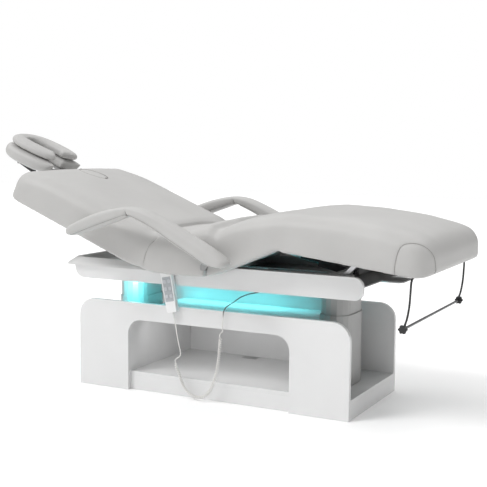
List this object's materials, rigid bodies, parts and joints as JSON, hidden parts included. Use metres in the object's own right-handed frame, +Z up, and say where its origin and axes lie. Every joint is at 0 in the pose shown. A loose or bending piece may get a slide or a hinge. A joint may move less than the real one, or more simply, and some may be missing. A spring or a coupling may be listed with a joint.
{
  "type": "facial treatment bed",
  "caption": "Electric treatment bed: white base with a storage niche, lifting columns, lit tray, grey upholstered back, seat and legs, armrests, face cradle, roll holder and corded handset.",
  "frame": {"origin": "on the floor under the middle of the base", "axes": "+X towards the foot end, -Y the side with the handset, +Z up"},
  "size_m": [2.1228, 0.97, 1.0588],
  "materials": {
    "white_laminate": "glossy white laminate over board",
    "moulded_shell": "satin white moulding",
    "column_grey": "satin grey",
    "frame_grey": "dark grey powder coat",
    "carrier_board": "dark painted board",
    "grey_leather": "light warm grey synthetic leather over foam",
    "bright_steel": "bright",
    "black_plastic": "matte black",
    "white_plastic": "satin white",
    "keypad_grey": "soft grey",
    "cyan_light": "glowing cyan diffuser",
    "cord_white": "off-white cord jacket",
    "relief_rubber": "light grey rubber"
  },
  "bodies": {
    "base": {"side_panel_near": "white_laminate", "side_panel_far": "white_laminate", "plinth_base": "white_laminate", "plinth_top": "white_laminate", "cable_grommet": "keypad_grey", "partition_head": "white_laminate", "partition_foot": "white_laminate", "niche_shelf": "white_laminate", "column_outer_head": "column_grey", "column_outer_foot": "column_grey"},
    "upper_frame": {"column_inner_head": "column_grey", "column_inner_foot": "column_grey", "skirt_near": "white_laminate", "skirt_far": "white_laminate", "deck_plate": "frame_grey", "head_cowl": "moulded_shell", "light_bar_near": "cyan_light", "light_bar_far": "cyan_light", "control_box": "black_plastic", "support_frame": "frame_grey", "seat_board": "carrier_board", "seat_cushion": "grey_leather", "armrest_bracket_near": "bright_steel", "armrest_bracket_far": "bright_steel", "handset_case": "white_plastic", "cord_relief": "relief_rubber", "cord_lead": "cord_white", "cord_curl": "cord_white", "cord_tail": "cord_white", "cord_gland": "relief_rubber"},
    "backrest": {"back_cushion": "grey_leather", "back_board": "carrier_board"},
    "breath_plug": {"breath_plug": "grey_leather"},
    "cradle_frame": {"cradle_frame": "frame_grey"},
    "face_cradle": {"cradle_platform": "black_plastic", "cradle_lower_pad": "grey_leather", "cradle_face_pad": "grey_leather"},
    "cradle_lever": {"cradle_lever": "black_plastic"},
    "thigh_section": {"thigh_cushion": "grey_leather", "thigh_board": "carrier_board"},
    "calf_section": {"calf_cushion": "grey_leather", "calf_board": "carrier_board", "roll_hanger_near": "black_plastic", "roll_hanger_far": "black_plastic"},
    "roll_bar": {"roll_bar": "bright_steel"},
    "roll_knob_near": {"roll_knob_near": "black_plastic"},
    "roll_knob_far": {"roll_knob_far": "black_plastic"},
    "armrest_near": {"armrest_near": "grey_leather"},
    "armrest_far": {"armrest_far": "grey_leather"},
    "back_actuator": {"back_actuator_body": "black_plastic"},
    "back_actuator_rod": {"back_actuator_rod": "bright_steel"},
    "leg_actuator": {"leg_actuator_body": "black_plastic"},
    "leg_actuator_rod": {"leg_actuator_rod": "bright_steel"},
    "calf_link": {"calf_link": "bright_steel"},
    "button_1": {"button_1": "keypad_grey"},
    "button_2": {"button_2": "keypad_grey"},
    "button_3": {"button_3": "keypad_grey"},
    "button_4": {"button_4": "keypad_grey"},
    "button_5": {"button_5": "keypad_grey"},
    "button_6": {"button_6": "keypad_grey"}
  },
  "joints": [
    {"name": "lift", "type": "slide", "parent": "base", "child": "upper_frame", "axis": [0, 0, 1], "range_m": [0, 0.23]},
    {"name": "backrest_tilt", "type": "hinge", "parent": "upper_frame", "child": "backrest", "pos_m": [-0.207, 0, 0.59], "axis": [0, 1, 0], "range_deg": [-22, 48]},
    {"name": "breath_plug_lift", "type": "slide", "parent": "backrest", "child": "breath_plug", "axis": [0.3746, 0, 0.9272], "range_m": [0, 0.12]},
    {"name": "cradle_slide", "type": "slide", "parent": "backrest", "child": "cradle_frame", "axis": [-0.9272, 0, 0.3746], "range_m": [0, 0.06]},
    {"name": "cradle_tilt", "type": "hinge", "parent": "cradle_frame", "child": "face_cradle", "pos_m": [-0.945, 0, 0.856], "axis": [0, 1, 0], "range_deg": [-25, 0]},
    {"name": "cradle_lever_turn", "type": "hinge", "parent": "face_cradle", "child": "cradle_lever", "pos_m": [-1.13782, 0, 0.92573], "axis": [0, 1, 0], "range_deg": [0, 55]},
    {"name": "thigh_tilt", "type": "hinge", "parent": "upper_frame", "child": "thigh_section", "pos_m": [0.085, 0, 0.5465], "axis": [0, -1, 0], "range_deg": [-22.6, 0]},
    {"name": "knee", "type": "hinge", "parent": "thigh_section", "child": "calf_section", "pos_m": [0.35347, 0, 0.65825], "axis": [0, -1, 0], "range_deg": [0, 30]},
    {"name": "armrest_near_turn", "type": "hinge", "parent": "upper_frame", "child": "armrest_near", "pos_m": [0.095, -0.44, 0.6], "axis": [0, 1, 0], "range_deg": [-30, 80]},
    {"name": "armrest_far_turn", "type": "hinge", "parent": "upper_frame", "child": "armrest_far", "pos_m": [0.095, 0.44, 0.6], "axis": [0, 1, 0], "range_deg": [-30, 80]},
    {"name": "back_actuator_swing", "type": "hinge", "parent": "upper_frame", "child": "back_actuator", "pos_m": [0.0195, 0, 0.49], "axis": [0, 1, 0], "range_deg": [-8, 14]},
    {"name": "back_actuator_stroke", "type": "slide", "parent": "back_actuator", "child": "back_actuator_rod", "axis": [-0.9994, 0, -0.035], "range_m": [-0.05, 0.085]},
    {"name": "leg_actuator_swing", "type": "hinge", "parent": "upper_frame", "child": "leg_actuator", "pos_m": [0.52, 0, 0.524], "axis": [0, 1, 0], "range_deg": [-12, 0]},
    {"name": "leg_actuator_stroke", "type": "slide", "parent": "leg_actuator", "child": "leg_actuator_rod", "axis": [-0.9779, 0, 0.2088], "range_m": [-0.012, 0]},
    {"name": "calf_link_swing", "type": "hinge", "parent": "upper_frame", "child": "calf_link", "pos_m": [0.547, 0, 0.5246], "axis": [0, -1, 0], "range_deg": [-51, 0]},
    {"name": "roll_bar_spin", "type": "hinge", "parent": "calf_section", "child": "roll_bar", "pos_m": [0.842, 0, 0.387], "axis": [0, 1, 0], "continuous": true},
    {"name": "roll_knob_near_turn", "type": "hinge", "parent": "roll_bar", "child": "roll_knob_near", "pos_m": [0.842, -0.365, 0.387], "axis": [0, 1, 0], "continuous": true},
    {"name": "roll_knob_far_turn", "type": "hinge", "parent": "roll_bar", "child": "roll_knob_far", "pos_m": [0.842, 0.365, 0.387], "axis": [0, 1, 0], "continuous": true},
    {"name": "button_1_press", "type": "slide", "parent": "upper_frame", "child": "button_1", "axis": [0, 1, 0], "range_m": [0, 0.0012], "stiffness_N_per_m": 600, "springref_m": -0.001},
    {"name": "button_2_press", "type": "slide", "parent": "upper_frame", "child": "button_2", "axis": [0, 1, 0], "range_m": [0, 0.0012], "stiffness_N_per_m": 600, "springref_m": -0.001},
    {"name": "button_3_press", "type": "slide", "parent": "upper_frame", "child": "button_3", "axis": [0, 1, 0], "range_m": [0, 0.0012], "stiffness_N_per_m": 600, "springref_m": -0.001},
    {"name": "button_4_press", "type": "slide", "parent": "upper_frame", "child": "button_4", "axis": [0, 1, 0], "range_m": [0, 0.0012], "stiffness_N_per_m": 600, "springref_m": -0.001},
    {"name": "button_5_press", "type": "slide", "parent": "upper_frame", "child": "button_5", "axis": [0, 1, 0], "range_m": [0, 0.0012], "stiffness_N_per_m": 600, "springref_m": -0.001},
    {"name": "button_6_press", "type": "slide", "parent": "upper_frame", "child": "button_6", "axis": [0, 1, 0], "range_m": [0, 0.0012], "stiffness_N_per_m": 600, "springref_m": -0.001}
  ],
  "couplings": [
    {"joint": "knee", "follows": "thigh_tilt", "ratio": -1.3097},
    {"joint": "back_actuator_swing", "follows": "backrest_tilt", "ratio": 0.25},
    {"joint": "back_actuator_stroke", "follows": "backrest_tilt", "m_per_rad": 0.095},
    {"joint": "leg_actuator_swing", "follows": "thigh_tilt", "ratio": 0.5115},
    {"joint": "leg_actuator_stroke", "follows": "thigh_tilt", "m_per_rad": 0.0262},
    {"joint": "calf_link_swing", "follows": "thigh_tilt", "ratio": 2.2035}
  ]
}
